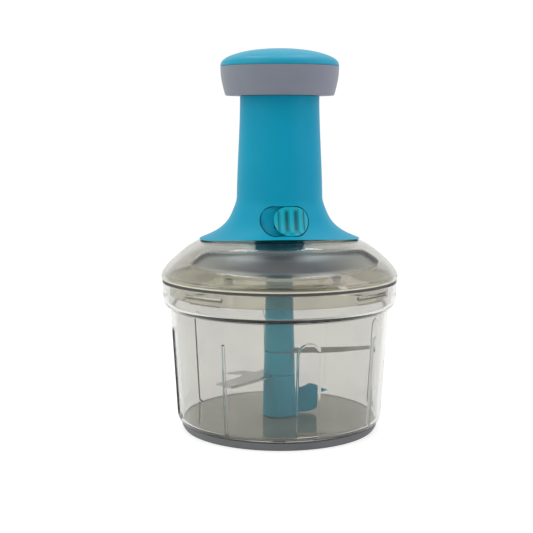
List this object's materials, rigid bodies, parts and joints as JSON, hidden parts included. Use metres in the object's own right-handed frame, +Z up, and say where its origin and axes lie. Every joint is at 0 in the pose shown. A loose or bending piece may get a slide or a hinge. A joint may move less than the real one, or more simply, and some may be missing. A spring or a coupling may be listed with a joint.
{
  "type": "plunger food chopper",
  "caption": "Hand food chopper: pressing the knob on its neck turns blades on a post in a clear bowl, under a twist-off smoke lid.",
  "frame": {"origin": "middle of the base, on the surface the chopper stands on", "axes": "+Z up along the post and the plunger, -Y towards the front, where the lock button is, +X to the right seen from the front"},
  "size_m": [0.135, 0.135, 0.215],
  "materials": {
    "clear_plastic": "clear moulded, glossy",
    "smoke_plastic": "smoke-tinted clear, glossy",
    "teal_plastic": "fine satin texture",
    "knob_teal": "semi-gloss",
    "soft_grey": "soft-touch, matt",
    "pad_grey": "non-slip, matt",
    "seal_black": "matt",
    "post_teal": "semi-gloss",
    "blade_steel": "ground, brushed",
    "bright_steel": "polished",
    "spring_steel": "drawn wire",
    "dark_teal": "satin",
    "dark_grey": "satin",
    "white_plastic": "self-lubricating, satin"
  },
  "bodies": {
    "bowl": {"bowl": "clear_plastic", "base_pad": "pad_grey", "pivot_pin": "bright_steel"},
    "blades": {"blade_post": "post_teal", "upper_spacer": "post_teal", "blade_collar": "post_teal", "lower_spacer": "post_teal", "stirring_paddle": "post_teal", "upper_blade": "blade_steel", "lower_blade": "blade_steel"},
    "seal": {"seal_ring": "seal_black"},
    "lid": {"lid_dome": "smoke_plastic", "lid_plate": "smoke_plastic", "thrust_washer": "white_plastic", "bearing_bush": "white_plastic", "clutch_housing": "dark_grey", "bearing_cap": "dark_teal", "housing_screws": "spring_steel", "return_spring": "spring_steel", "neck_shell": "teal_plastic", "neck_screws": "spring_steel", "guide_bush": "dark_grey"},
    "drive": {"drive_socket": "dark_teal", "pawl_wheel": "white_plastic", "spiral_spindle": "bright_steel"},
    "lock": {"lock_slider": "teal_plastic", "lock_tongue": "dark_grey", "lock_screw": "spring_steel"},
    "plunger": {"plunger_tube": "teal_plastic", "spiral_nut": "white_plastic", "nut_pins": "bright_steel", "knob_base": "soft_grey", "knob_screws": "spring_steel", "knob_grip": "soft_grey", "knob_cap": "knob_teal"}
  },
  "joints": [
    {"name": "lid_lift", "type": "slide", "parent": "bowl", "child": "seal", "axis": [0, 0, 1], "range_m": [0, 0.16]},
    {"name": "lid_twist", "type": "hinge", "parent": "seal", "child": "lid", "pos_m": [0, 0, 0], "axis": [0, 0, 1], "range_deg": [0, 25]},
    {"name": "plunger_slide", "type": "slide", "parent": "lid", "child": "plunger", "axis": [0, 0, 1], "range_m": [0, 0.05], "deforming": ["return_spring"]},
    {"name": "lock_slide", "type": "slide", "parent": "lid", "child": "lock", "axis": [-1, 0, 0], "range_m": [0, 0.007]},
    {"name": "spindle_spin", "type": "hinge", "parent": "lid", "child": "drive", "pos_m": [0, 0, 0.09], "axis": [0, 0, 1], "range_deg": [-452, 2]},
    {"name": "blade_spin", "type": "hinge", "parent": "bowl", "child": "blades", "pos_m": [0, 0, 0.02], "axis": [0, 0, 1], "range_deg": [-452, 2]}
  ],
  "couplings": [
    {"joint": "spindle_spin", "follows": "plunger_slide", "rad_per_m": -157.08},
    {"joint": "blade_spin", "follows": "plunger_slide", "rad_per_m": -157.08}
  ]
}
